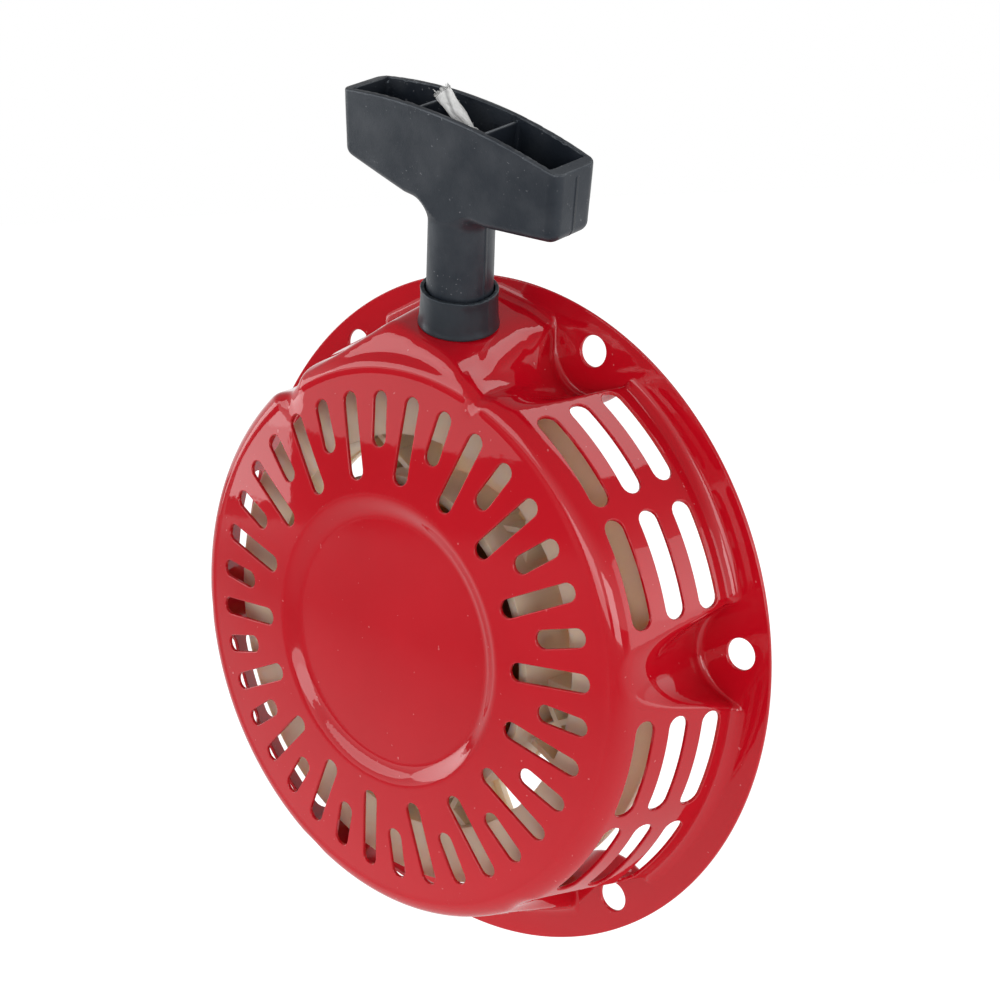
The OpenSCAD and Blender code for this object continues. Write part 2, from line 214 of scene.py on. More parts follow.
def plastic_material():
    """Black moulded plastic: matt, with a painted highlight on its edges, pale specks and a dusty bloom."""
    n = Nodes(bpy.data.materials.new("black_plastic"))
    speck = n.times(n.ramp(n.noise(1100.0, 1.0), 0.70, 0.76), n.ramp(n.noise(110.0), 0.50, 0.62))
    bloom = n.times(n.ramp(n.noise(70.0, 4.0), 0.45, 0.75), 0.06)
    # convex edges are painted lighter: a painted highlight along the rims
    rim_highlight = n.times(n.ramp(n.new("NewGeometry").outputs["Pointiness"], 0.535, 0.60), 0.28)
    grime_and_highlight = n.plus(n.times(speck, 0.35), n.plus(bloom, rim_highlight))
    return n.finish(
        # the base colour carries the specks, the bloom and the painted edge highlight
        Base_Color=n.mix(grime_and_highlight, (0.012, 0.0155, 0.022, 1), (0.42, 0.43, 0.45, 1)),
        Roughness=n.mottle(90.0, 0.30, 0.42),
        Specular_IOR_Level=0.5,
        Specular_Tint=BLUISH,
        Normal=n.bump(n.plus(n.noise(2600.0, 2.0), n.times(n.noise(400.0), 1.5)), 0.12, 0.0003),
    )


def rubber_material():
    """The guide's black rubber, a little greyer than the handle."""
    n = Nodes(bpy.data.materials.new("guide_rubber"))
    return n.finish(
        Base_Color=n.mix(n.mottle(120.0), (0.014, 0.018, 0.023, 1), (0.022, 0.027, 0.033, 1)),
        Roughness=n.mottle(150.0, 0.30, 0.42),
        Specular_Tint=BLUISH,
        Normal=n.bump(n.noise(1800.0, 2.0), 0.10, 0.0002),
    )


def nylon_material():
    """Undyed nylon, cream in colour, that lets some light through."""
    n = Nodes(bpy.data.materials.new("natural_nylon"))
    return n.finish(
        Base_Color=n.mix(n.mottle(45.0), (0.80, 0.67, 0.51, 1), (0.87, 0.75, 0.59, 1)),
        Roughness=n.mottle(120.0, 0.38, 0.50),
        Subsurface_Weight=0.8,
        Subsurface_Radius=(1.0, 0.75, 0.5),
        Subsurface_Scale=0.003,
        Normal=n.bump(n.noise(1500.0, 2.0), 0.08, 0.0002),
    )


TURNED = (1.0, 40.0, 1.0)  # packs the noise along the lathe's axis, so that it reads as turning marks


def steel_material(name, low, high, rough_low, rough_high, turned=False):
    """Bare steel between two tones, with turning marks if it came from a lathe."""
    n = Nodes(bpy.data.materials.new(name))
    at = n.new("Mapping", Vector=n.place, Scale=TURNED).outputs[0] if turned else n.place
    return n.finish(
        Base_Color=n.mix(n.mottle(140.0), (*low, 1), (*high, 1)),
        Metallic=1.0,
        Roughness=n.mottle(300.0, rough_low, rough_high, at),
        Normal=n.bump(n.noise(1200.0, 2.0, at=at), 0.08, 0.0002),
    )


def floor_material():
    """White paper, brighter behind the object than in front of it; the camera sees it all as white."""
    n = Nodes(bpy.data.materials.new("floor"))
    y = n.new("SeparateXYZ", Vector=n.place).outputs["Y"]
    behind = n.ramp(y, FLOOR_DARK_Y, FLOOR_BRIGHT_Y, 0.0, FLOOR_BEHIND)
    white = n.times(n.new("LightPath").outputs["Is Camera Ray"], FLOOR_WHITE)
    return n.finish(
        Base_Color=(0.45, 0.45, 0.45, 1),
        Roughness=0.9,
        Specular_IOR_Level=0.0,
        Emission_Color=(1, 1, 1, 1),
        Emission_Strength=n.math("MAXIMUM", white, behind),
    )


def rope_material(name, straight=False):
    """Braided rope: two sets of strands that cross each other, each of them a bundle of fibres.

    The straight rope knows its way along and around by place, so its pitch stays as it stretches."""
    n = Nodes(bpy.data.materials.new(name))
    if straight:
        reach = []
        for k in range(3):
            dot = n.new("VectorMath")
            dot.operation = "DOT_PRODUCT"
            n.put(dot, 0, n.place)
            n.put(dot, 1, tuple(GUIDE[:3, k]))
            reach.append(n.math("SUBTRACT", dot.outputs["Value"], float(GUIDE[:3, k] @ GUIDE[:3, 3]) * MM))
        around = n.math("DIVIDE", n.math("ARCTAN2", reach[1], reach[0]), 2 * math.pi)
        along = n.math("DIVIDE", reach[2], MM)
    else:
        along, around, _ = n.new("SeparateXYZ", Vector=n.coords["UV"]).outputs
    rise = n.math("DIVIDE", along, LAY)
    u = n.times(n.plus(around, rise), STRANDS * math.pi / 2)
    v = n.times(n.math("SUBTRACT", around, rise), STRANDS * math.pi / 2)
    over = n.math("MULTIPLY_ADD", n.math("SINE", n.math("SUBTRACT", u, v)), 0.5, 0.5)
    under = n.math("SUBTRACT", 1.0, over)
    crown = [n.math("ABSOLUTE", n.math("SINE", w)) for w in (u, v)]
    fibre = [n.math("SINE", n.times(w, 9.0)) for w in (u, v)]
    weave, fibre = (n.plus(n.times(over, one), n.times(under, two)) for one, two in (crown, fibre))
    light = n.mix(n.ramp(n.noise(350.0), 0.35, 0.65), (0.66, 0.66, 0.65, 1), (0.86, 0.86, 0.85, 1))
    return n.finish(
        # the grooves between the strands are painted dark grey: painted shade in the braid's hollows
        Base_Color=n.mix(n.ramp(weave, 0.1, 0.6), (0.40, 0.40, 0.40, 1), light),
        Roughness=n.mottle(900.0, 0.6, 0.85),
        Sheen_Weight=0.25,
        Normal=n.bump(n.plus(weave, n.times(fibre, 0.16)), 0.6, 0.0003),
    )


# ---------------------------------------------------------------- mesh helpers

# Axis frame, in millimetres: x to the right, up, and the height h towards the closed front.


def turn_row(vectors):
    v = np.asarray(vectors, float)
    return np.stack([v[..., 0], -v[..., 2], v[..., 1]], -1)


def to_row(points):
    """Points (x, up, h) in millimetres, as metres in the part's frame."""
    return turn_row(points) * MM


def make_mesh(name, points, faces, normals=None, uvs=None):
    mesh = bpy.data.meshes.new(name)
    mesh.from_pydata([tuple(p) for p in points], [], [tuple(int(i) for i in f) for f in faces])
    mesh.validate()
    mesh.update()
    mesh.shade_smooth()
    if uvs is not None:
        layer = mesh.uv_layers.new(name="UVMap")
        index = np.zeros(len(mesh.loops), np.int32)
        mesh.loops.foreach_get("vertex_index", index)
        layer.data.foreach_set("uv", np.asarray(uvs, np.float32)[index].ravel())
    if normals is not None:
        mesh.normals_split_custom_set_from_vertices([tuple(v) for v in normals])
    made = bpy.data.objects.new(name, mesh)
    bpy.context.scene.collection.objects.link(made)
    return made


def finish_piece(piece, material, body, replaced):
    piece.data.materials.append(material)
    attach(piece, body)
    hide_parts(replaced)


def unit(v):
    v = np.asarray(v, float)
    return v / np.maximum(np.linalg.norm(v, axis=-1, keepdims=True), 1e-12)


def smooth_max(a, b, k):
    return np.maximum(a, b) + k / 4 * np.maximum(0, 1 - np.abs(a - b) / k) ** 2


def smooth_min(a, b, k):
    return -smooth_max(-a, -b, k)


def smoothstep(x, a, b):
    t = np.clip((x - a) / (b - a), 0, 1)
    return t * t * (3 - 2 * t)


# ---------------------------------------------------------------- housing

# The sheet's section, in millimetres: face, rounded shoulder, drafted wall, foot and flange.
SHEET = 1.2
FLANGE_R = 103.0
WALL_R = 93.8  # radius where the wall's line meets the mounting face
DRAFT = math.radians(15)
SLOPE = math.tan(DRAFT)
SHOULDER_R = 6.5
SHOULDER_AT = (77.947, 34.05)  # radius and height of the middle of its arc
FACE_TOP = 45.62
FACE_SAG = 8.776 / 103**2
DISH_DEPTH = 3.0
DISH_FLOOR_R, DISH_RIM_R = 36.2, 43.6
FOOT = 3.0

BOLTS = 6
BOLT_R = 93.65
HOLE_R = 4.5
RIM_ROUND = 0.4  # rounding of the flange's rim

FACE_SLOTS = 36
FACE_SLOT_TURN = 1.5  # azimuth of the first one, in degrees
SLOT_OUTER_R = 72.9
SLOT_SHORT_R, SLOT_LONG_R = 57.1, 47.7  # inner ends of the short and the long slots, which take turns
SLOT_HALF_W = 2.6

WALL_SECTORS = (60, 120, 180, 240, 300)
WALL_SLOT_SIDE = 11.5  # degrees from the middle of the sector
WALL_SLOT_ROWS = (9.8, 20.9, 32.0)
WALL_SLOT_HALF_LEN, WALL_SLOT_HALF_W = 15.0, 3.0

# The neck is cut by planes: azimuth in degrees, distance from the axis at the guide's height, slope.
NECK_RAMP = (-24.4, 86.42, 0.264)
NECK_SEAT = (20.0, 90.6, 0.26795)
NECK_FLANK = (43.1, 81.78, 0.262)
NECK_CREASE = 2.2
NECK_ENDS = (-115.0, 130.0)  # azimuths of the planes behind which there is no neck
NECK_TOP = 39.5
NECK_EDGE = 35.0  # height of the gentle slope in front at the wall's foot radius
NECK_FRONT_AZIMUTH, NECK_FRONT_SLOPE = math.radians(2), math.radians(17)
GUIDE_SIDE, GUIDE_H, GUIDE_SEAT = -16.0, 22.5, 90.6  # place of the rope guide in the leaning frame
LEAN = math.radians(20)

POCKET_REACH = 14.0  # radius of the pocket's round end at the flange
POCKET_TAPER = 0.1373
POCKET_BEND = 0.894  # share of that radius where the round end turns into the flared sides
POCKET_FLARE = 2.0

# Distances along the section from the face's centre to the ends of face, shoulder, wall and foot.
FAN_END = math.radians(82.7)
FAN_R = SHOULDER_AT[0] + SHOULDER_R * math.cos(FAN_END)
FAN_LEN = SHOULDER_R * (FAN_END - DRAFT)
WALL_TOP_H = SHOULDER_AT[1] + SHOULDER_R * math.sin(DRAFT)
S_FAN = FAN_R + FAN_LEN
S_WALL = S_FAN + WALL_TOP_H - (SHEET + FOOT)
S_END = S_WALL + 1.5 * FOOT


def wall_at(h):
    return WALL_R - SLOPE * h


def face_at(r):
    """Height of the face without its dish."""
    return FACE_TOP - FACE_SAG * r * r


def dish_at(r):
    return DISH_DEPTH * (1 - smoothstep(r, DISH_FLOOR_R, DISH_RIM_R))


def reach_towards(x, up, azimuth):
    """Distance from the axis, measured towards an azimuth in radians."""
    return x * math.sin(azimuth) + up * math.cos(azimuth)


def base_form(r, h):
    """Distance from the housing's form without its neck and pockets."""
    d_face = (h - face_at(r)) * 0.992
    d_wall = (r - wall_at(h)) * math.cos(DRAFT)
    angle = np.arctan2(h - SHOULDER_AT[1], r - SHOULDER_AT[0])
    corner = np.hypot(r - SHOULDER_AT[0], h - SHOULDER_AT[1]) - SHOULDER_R
    return np.where((angle > DRAFT) & (angle < FAN_END), corner, np.maximum(d_face, d_wall))


def neck_form(x, up, h):
    """Distance from the raised neck: ramp, seat and flank, with a gentle slope in front of them."""
    form = None
    for azimuth, reach, drop in (NECK_RAMP, NECK_SEAT, NECK_FLANK):
        s = reach_towards(x, up, math.radians(azimuth))
        plane = (s - reach - drop * (GUIDE_H - h)) * math.cos(DRAFT)
        form = plane if form is None else smooth_max(form, plane, NECK_CREASE)
    s = reach_towards(x, up, NECK_FRONT_AZIMUTH) - WALL_R
    front = (h - NECK_EDGE) * math.cos(NECK_FRONT_SLOPE) + s * math.sin(NECK_FRONT_SLOPE)
    form = smooth_max(form, front, 2.0)
    for azimuth in NECK_ENDS:
        form = np.maximum(form, reach_towards(x, up, math.radians(azimuth)))
    return smooth_max(form, h - NECK_TOP, 1.5)


def pocket_form(a, r, h):
    """Positive inside the pocket of the nearest bolt."""
    apart = 360.0 / BOLTS
    off = np.radians((np.degrees(a) % apart) - apart / 2)
    lateral = np.abs(r * np.sin(off))
    outward = r * np.cos(off)
    reach = POCKET_REACH - POCKET_TAPER * (h - SHEET)
    bend = POCKET_BEND * reach
    inner = np.minimum(lateral, bend)
    round_end = reach - np.sqrt(np.maximum(reach**2 - inner**2, 0))
    curve = round_end + POCKET_FLARE * np.maximum(lateral - bend, 0)
    return (outward - (BOLT_R - reach) - curve) * 0.7


def form(a, r, h):
    """Distance from the housing's outer form: base and neck, less the pockets."""
    x, up = r * np.sin(a), r * np.cos(a)
    neck = neck_form(x, up, h)
    # soft where the neck meets the wall, crisp where it meets the face
    solid = smooth_min(base_form(r, h), neck, 3.0 - 2.2 * smoothstep(h, 26.0, 32.0))
    # the pocket's edge is wider on the side of the neck
    left_of_bolt = smoothstep(reach_towards(-up, x, math.radians(30)), 1.0, -5.0)
    beside_neck = left_of_bolt * smoothstep(neck, 14.0, 4.0) * smoothstep(h, 4.0, 14.0)
    edge = 2.3 + 1.2 * smoothstep(h, 10.0, 22.0) + 7.0 * beside_neck
    return smooth_max(solid, pocket_form(a, r, h), edge)


def base_ray(s):
    """Point of the plain form and direction of search, for the distance s along its section."""
    face = s <= FAN_R
    fan = (s > FAN_R) & (s <= S_FAN)
    theta = FAN_END - (s - FAN_R) / SHOULDER_R
    psi = np.where(fan, math.pi / 2 * (1 - (s - FAN_R) / FAN_LEN), 0.0)
    psi = np.where(face, math.pi / 2, psi)
    h_wall = WALL_TOP_H - (s - S_FAN)
    r = np.where(fan, SHOULDER_AT[0] + SHOULDER_R * np.cos(theta), wall_at(h_wall))
    h = np.where(fan, SHOULDER_AT[1] + SHOULDER_R * np.sin(theta), h_wall)
    return np.where(face, s, r), np.where(face, face_at(s), h), psi


def section_point(a, s):
    """(r, h) on the form at azimuth a and section distance s, as far as the wall's foot."""
    r0, h0, psi = base_ray(s)
    c, n = np.cos(psi), np.sin(psi)
    low = np.where(s > S_FAN, -19.0, -3.0)
    high = np.full_like(r0, 14.0)
    for _ in range(34):
        mid = (low + high) / 2
        outside = form(a, r0 + mid * c, h0 + mid * n) > 0
        high = np.where(outside, mid, high)
        low = np.where(outside, low, mid)
    t = (low + high) / 2
    r, h = r0 + t * c, h0 + t * n
    return r, np.where(s <= FAN_R, h - dish_at(s), h)


def skin(a, s):
    """Points (x, up, h) of the outer surface, from the face's centre to the start of the flat flange."""
    a, s = np.broadcast_arrays(np.asarray(a, float), np.asarray(s, float))
    r, h = section_point(a, np.minimum(s, S_WALL))
    foot = s > S_WALL
    if foot.any():
        t = np.clip((s[foot] - S_WALL) / (S_END - S_WALL), 0, 1.05)
        corner, _ = section_point(a[foot], np.full(foot.sum(), S_WALL + FOOT))
        out = corner + np.clip(0.8 * (FLANGE_R - 0.9 - corner), 0.3, FOOT)
        r[foot] = (1 - t) ** 2 * r[foot] + 2 * t * (1 - t) * corner + t * t * out
        h[foot] = (1 - t) ** 2 * h[foot] + 2 * t * (1 - t) * SHEET + t * t * SHEET
    return np.stack([r * np.sin(a), r * np.cos(a), h], -1)


def skin_normals(a, s):
    a, s = np.asarray(a, float), np.asarray(s, float)
    step = 0.03
    turn = step / np.maximum(s.clip(0, 90), 1.0)
    along = skin(a, np.minimum(s + step, S_END)) - skin(a, np.maximum(s - step, 0.0))
    across = skin(a + turn, s) - skin(a - turn, s)
    n = unit(np.cross(across, along))
    n[s < 0.5] = (0, 0, 1)
    return n


def stadium(half_len, half_w, ends=8, sides=8):
    """Outline of a slot along its own first axis, anticlockwise."""
    flat = half_len - half_w
    out = []
    for way in (1, -1):
        for k in range(ends + 1):
            t = -math.pi / 2 + math.pi * k / ends
            out.append((way * (flat + half_w * math.cos(t)), way * half_w * math.sin(t)))
        out += [(way * (flat - 2 * flat * k / sides), way * half_w) for k in range(1, sides)]
    return np.array(out)


class Face:
    """The closed front: its domain is (x, up)."""

    def slots(self):
        for k in range(FACE_SLOTS):
            turn = math.radians(FACE_SLOT_TURN + 360 / FACE_SLOTS * k)
            yield turn, SLOT_LONG_R if k % 2 else SLOT_SHORT_R

    def outline(self, slot, grow):
        a, inner = slot
        sides = 9 if inner == SLOT_LONG_R else 6
        pts = stadium((SLOT_OUTER_R - inner) / 2 + grow, SLOT_HALF_W + grow, 8, sides)
        along, across = pts[:, 0] + (SLOT_OUTER_R + inner) / 2, pts[:, 1]
        x = along * math.sin(a) - across * math.cos(a)
        return np.stack([x, along * math.cos(a) + across * math.sin(a)], -1)

    def inside(self, points, grow):
        hit = np.zeros(len(points), bool)
        for a, inner in self.slots():
            along = reach_towards(points[:, 0], points[:, 1], a)
            across = reach_towards(points[:, 1], -points[:, 0], a)
            flat = (SLOT_OUTER_R - inner) / 2 - SLOT_HALF_W
            dx = np.maximum(np.abs(along - (SLOT_OUTER_R + inner) / 2) - flat, 0)
            hit |= np.hypot(dx, across) < SLOT_HALF_W + grow
        return hit

    def params(self, points):
        return np.arctan2(points[:, 0], points[:, 1]), np.hypot(points[:, 0], points[:, 1])


class Wall:
    """Shoulder, wall and the fillet at its foot: its domain is (azimuth in degrees * GAUGE, s)."""

    GAUGE = 1.5

    def slots(self):
        for sector in WALL_SECTORS:
            for side in (-WALL_SLOT_SIDE, WALL_SLOT_SIDE):
                for row in WALL_SLOT_ROWS:
                    yield sector + side, row

    def outline(self, slot, grow):
        a0, row = slot
        pts = stadium(WALL_SLOT_HALF_LEN + grow, WALL_SLOT_HALF_W + grow, 8, 14)
        h = row + pts[:, 1]
        a = a0 + np.degrees(np.arcsin(pts[:, 0] / wall_at(h)))
        return np.stack([a * self.GAUGE, S_FAN + WALL_TOP_H - h], -1)

    def inside(self, points, grow):
        hit = np.zeros(len(points), bool)
        h = WALL_TOP_H - (points[:, 1] - S_FAN)
        for a0, row in self.slots():
            turn = np.radians(points[:, 0] / self.GAUGE - a0)
            near = np.abs(turn) < 0.4
            x = wall_at(h) * np.sin(turn)
            dx = np.maximum(np.abs(x) - (WALL_SLOT_HALF_LEN - WALL_SLOT_HALF_W), 0)
            hit |= near & (np.hypot(dx, h - row) < WALL_SLOT_HALF_W + grow)
        return hit

    def params(self, points):
        return np.radians(points[:, 0] / self.GAUGE), points[:, 1]


def azimuth_list():
    """Azimuths of the ring vertices: close together at the pockets and the neck."""
    out = []
    a = 0.0
    while a < 360 - 1e-6:
        out.append(a)
        near_pocket = abs(a % 60 - 30) < 12
        in_neck = a > 330 or a < 30
        a += 0.5 if near_pocket or in_neck else 1.0
    return np.array(out)


def triangulate(points, edges):
    edges = [tuple(map(int, e)) for e in edges]
    got = delaunay_2d_cdt([Vector(p) for p in points], edges, [], 0, 1e-7)
    if len(got[0]) != len(points):
        raise RuntimeError(f"the outline crossed itself: {len(got[0])} points from {len(points)}")
    return np.array(got[2])


def loop_edges(index):
    return np.stack([index, np.roll(index, -1)], -1)


def turned_out(faces, points, normals):
    """Triangles, turned over where they look against the normals of their corners."""
    one, two, three = (points[faces[:, k]] for k in range(3))
    flip = (np.cross(two - one, three - one) * normals[faces].mean(1)).sum(-1) < 0
    faces[flip] = faces[flip][:, ::-1]
    return faces


def ring_of(r, count, shift=0.0):
    """Azimuths and points of one ring of the grid."""
    t = 2 * math.pi * (np.arange(count) + shift) / count
    return t, np.stack([r * np.sin(t), r * np.cos(t)], -1)


LIP = 0.35  # how far the rounded edge of an opening reaches into the sheet

# rings down through an opening: how far each one stands back, its depth, and how much it looks up
LIP_RINGS = ((0.1, 0.1, 1.0), (0.0, LIP, 0.0), (0.0, SHEET - 0.2, 0.0))


# rings down the flange's rim: how far each one stands back, its height, and how much it looks up
RIM_RINGS = ((0.1, SHEET - 0.12, 1), (0, SHEET - RIM_ROUND, 0), (0, RIM_ROUND, 0), (0.1, 0.12, -1))


class Shell:
    """The outer skin of the sheet, built zone by zone."""

    def __init__(self):
        self.points = []
        self.normals = []
        self.faces = []
        self.count = 0
        self.slots = []  # zone, slot, and the loop of vertices round it

    def add(self, points, normals):
        start = self.count
        self.points.append(points)
        self.normals.append(np.broadcast_to(normals, points.shape))
        self.count += len(points)
        return np.arange(start, self.count)

    def add_skin(self, a, s):
        return self.add(skin(a, s), skin_normals(a, s))

    def add_zone(self, zone, start, fixed, grid, borders):
        """Fills a zone between its borders and slots; start are the points of the vertices fixed."""
        loops = [zone.outline(slot, LIP) for slot in zone.slots()]
        ends = np.cumsum([len(start) + len(grid)] + [len(loop) for loop in loops])
        edges = [loop_edges(np.arange(a, b)) for a, b in zip(ends[:-1], ends[1:])]
        points = np.concatenate([start, grid] + loops)
        tris = triangulate(points, np.concatenate(edges + borders))
        tris = tris[~zone.inside(points[tris].mean(1), LIP - 1e-3)]
        index = np.concatenate([fixed, self.add_skin(*zone.params(points[len(fixed):]))]).astype(int)
        self.faces.append(index[tris])
        for slot, a, b in zip(zone.slots(), ends[:-1], ends[1:]):
            self.slots.append((zone, slot, index[a:b]))


def add_face(shell, turn, ring_top):
    """The closed front inside the ring where it meets the shoulder."""
    face = Face()
    start = np.stack([FAN_R * np.sin(turn), FAN_R * np.cos(turn)], -1)
    grid = [np.zeros((1, 2))]
    # rings that lie closer together on the dish's slope, and fairly close outside it
    spans = ((2.5, 34.9, 2.5), (35.5, 44.6, 0.75), (46, 77.8, 1.55))
    radii = np.concatenate([np.arange(*span) for span in spans])
    for k, r in enumerate(radii):
        count = max(8, int(round(2 * math.pi * r / (2.4 if r < 35 else 1.7))))
        grid.append(ring_of(r, count, 0.5 * (k % 2))[1])
    grid = np.concatenate(grid)
    grid = grid[~face.inside(grid, LIP + 0.75)]
    shell.add_zone(face, start, ring_top, grid, [loop_edges(np.arange(len(start)))])


def add_wall(shell, azimuths, ring_top, ring_foot):
    """Shoulder, wall and foot, unrolled from azimuth 0 to 360 and joined there."""
    wall = Wall()
    rows = list(np.linspace(FAN_R, S_FAN, 11)[1:]) + list(np.linspace(S_FAN, S_WALL, 26)[1:])
    rows += list(np.linspace(S_WALL, S_END, 9)[1:-1])
    seam = np.array([(0.0, s) for s in rows])
    top = np.stack([azimuths * wall.GAUGE, np.full(len(azimuths), FAN_R)], -1)
    foot = np.stack([azimuths * wall.GAUGE, np.full(len(azimuths), S_END)], -1)
    shift = np.array([360.0 * wall.GAUGE, 0.0])
    seam_index = shell.add_skin(*wall.params(seam))
    start = np.concatenate([top, top[:1] + shift, foot, foot[:1] + shift, seam, seam + shift])
    fixed = np.concatenate([ring_top, ring_top[:1], ring_foot, ring_foot[:1], seam_index, seam_index])
    grid = np.array([(a * wall.GAUGE, s) for s in rows for a in azimuths[1:]])
    grid = grid[~wall.inside(grid, LIP + 0.6)]
    chain = np.arange(len(azimuths))
    border = np.stack([chain, chain + 1], -1)
    shell.add_zone(wall, start, fixed, grid, [border, border + len(azimuths) + 1])


def add_flange(shell, azimuths, ring_foot):
    """The flat flange; gives back its rim and its bolt holes, each with its loop of vertices."""
    inner = np.concatenate(shell.points)[ring_foot][:, :2]
    inner_r = np.r_[np.hypot(*inner.T), np.hypot(*inner[0])]

    def foot_at(degrees):
        return np.interp(degrees, np.r_[azimuths, 360], inner_r)

    _, rim = ring_of(FLANGE_R - RIM_ROUND, 360)
    up = (0.0, 0.0, 1.0)
    rim_loop = shell.add(np.c_[rim, np.full(len(rim), SHEET)], up)
    grid = []
    for r in np.arange(80.5, 102.2, 2.1):
        t, ring = ring_of(r, int(round(2 * math.pi * r / 2.3)))
        grid.append(ring[r > foot_at(np.degrees(t)) + 0.9])
    grid = np.concatenate(grid)
    centres = ring_of(BOLT_R, BOLTS, 0.5)[1]
    for c in centres:
        grid = grid[np.hypot(*(grid - c).T) > HOLE_R + LIP + 0.8]
    _, circle = ring_of(1.0, 40)
    loops = [c + circle * (HOLE_R + LIP) for c in centres]
    points = np.concatenate([inner, rim, grid] + loops)
    ends = np.cumsum([0, len(inner), len(rim), len(grid)] + [len(loop) for loop in loops])
    spans = [np.arange(a, b) for a, b in zip(ends[:-1], ends[1:])]
    tris = triangulate(points, np.concatenate([loop_edges(span) for span in spans[:2] + spans[3:]]))
    centre = points[tris].mean(1)
    keep = np.hypot(*centre.T) > foot_at(np.degrees(np.arctan2(centre[:, 0], centre[:, 1])) % 360)
    for c in centres:
        keep &= np.hypot(*(centre - c).T) > HOLE_R + LIP - 0.02
    new = points[len(inner) + len(rim):]
    added = shell.add(np.c_[new, np.full(len(new), SHEET)], up)
    index = np.concatenate([ring_foot, rim_loop, added])
    shell.faces.append(index[tris[keep]])
    return rim, rim_loop, [(c, index[span]) for c, span in zip(centres, spans[3:])]


class Sheet:
    """The outer skin, its offset on the inside, and the rounded rims that join the two."""

    def __init__(self, shell):
        self.outer = np.concatenate(shell.points)
        self.normal = np.concatenate(shell.normals)
        faces = turned_out(np.concatenate(shell.faces), self.outer, self.normal)
        self.count = len(self.outer)
        self.points = [self.outer, self.outer - SHEET * self.normal]
        self.normals = [self.normal, -self.normal]
        self.faces = [faces, faces[:, ::-1] + self.count]
        self.total = 2 * self.count

    def add_rim(self, loop, rings):
        """Joins the outer loop, the rings between and the inner loop."""
        chain = [loop]
        for points, normals in rings:
            self.points.append(points)
            self.normals.append(normals)
            chain.append(np.arange(self.total, self.total + len(loop)))
            self.total += len(loop)
        chain.append(loop + self.count)
        for one, two in zip(chain[:-1], chain[1:]):
            one_next, two_next = np.roll(one, -1), np.roll(two, -1)
            self.faces.append(np.stack([one, one_next, two], -1))
            self.faces.append(np.stack([one_next, two_next, two], -1))

    def piece(self, name):
        points = to_row(np.concatenate(self.points))
        normals = turn_row(np.concatenate(self.normals))
        return make_mesh(name, points, turned_out(np.concatenate(self.faces), points, normals), normals)


def build_housing():
    azimuths = azimuth_list()
    turn = np.radians(azimuths)
    shell = Shell()
    # the ring where the face meets the shoulder, and the ring where the foot meets the flange
    ring_top = shell.add_skin(turn, np.full_like(turn, FAN_R))
    ring_foot = shell.add(skin(turn, S_END), (0.0, 0.0, 1.0))
    add_face(shell, turn, ring_top)
    add_wall(shell, azimuths, ring_top, ring_foot)
    rim, rim_loop, holes = add_flange(shell, azimuths, ring_foot)

    sheet = Sheet(shell)
    for zone, slot, loop in shell.slots:
        n = sheet.normal[loop]
        into = skin(*zone.params(zone.outline(slot, 0.0))) - sheet.outer[loop]
        into = unit(into - (into * n).sum(-1, keepdims=True) * n)
        rings = []
        for back, depth, up in LIP_RINGS:
            edge = skin(*zone.params(zone.outline(slot, back)))
            rings.append((edge - depth * n, unit(up * n + into)))
        sheet.add_rim(loop, rings)
    for c, loop in holes:
        n = sheet.normal[loop]
        out = unit(sheet.outer[loop][:, :2] - c)
        rings = []
        for back, depth, up in LIP_RINGS:
            edge = np.c_[c + out * (HOLE_R + back), np.full(len(out), SHEET - depth)]
            rings.append((edge, unit(up * n - np.c_[out, np.zeros(len(out))])))
        sheet.add_rim(loop, rings)
    out = np.c_[unit(rim), np.zeros(len(rim))]
    rings = []
    for back, h, up in RIM_RINGS:
        edge = np.c_[out[:, :2] * (FLANGE_R - back), np.full(len(rim), h)]
        rings.append((edge, unit(out + (0.0, 0.0, up))))
    sheet.add_rim(rim_loop, rings)
    piece = sheet.piece("pressed_housing")
    finish_piece(piece, MATERIALS["red_paint"], "housing", "housing_shell")


# ---------------------------------------------------------------- handle, guide and rope

# Guide frame, in millimetres: x along the handle's bar, y away from the front, z along the rope.
BAR_HALF, BAR_THICK, BAR_SWELL = 39.6, 7.8, 0.9  # half length, half thickness, the middle's extra
BAR_END_TOP, BAR_CROWN = 59.2, 4.2
BAR_FOOT, BAR_ROOT, BAR_HAUNCH = 40.4, 36.5, 24.6  # underside at the ends and the stem, length between
BAR_WALL = 1.6
BAR_POCKETS = ((0.0, 11.4, 50.0), (24.3, 11.7, 46.0), (-24.3, 11.7, 46.0))  # middle, half length, floor
STEM_R, STEM_FOOT, STEM_TOP = 9.4, 6.0, 46.0
ROPE_R = 2.5


def guide_matrix():
    lean = Matrix.Rotation(LEAN, 4, "Y")
    draft = Matrix.Rotation(DRAFT, 4, "X")
    return lean @ Matrix.Translation((GUIDE_SIDE, -GUIDE_H, GUIDE_SEAT)) @ draft


GUIDE = np.array(guide_matrix())


def turn_guide(vectors):
    return np.asarray(vectors, float) @ GUIDE[:3, :3].T


def from_guide(points):
    """Guide-frame millimetres, as metres in the part's frame."""
    return (turn_guide(points) + GUIDE[:3, 3]) * MM


def round_both(a, b, r):
    """Intersection of two forms, its edge rounded to a radius."""
    return np.minimum(-r, np.maximum(a, b)) + np.hypot(np.maximum(a + r, 0), np.maximum(b + r, 0))


def round_either(a, b, r):
    """Union of two forms, its inner corner filled to a radius."""
    return np.maximum(r, np.minimum(a, b)) - np.hypot(np.maximum(r - a, 0), np.maximum(r - b, 0))


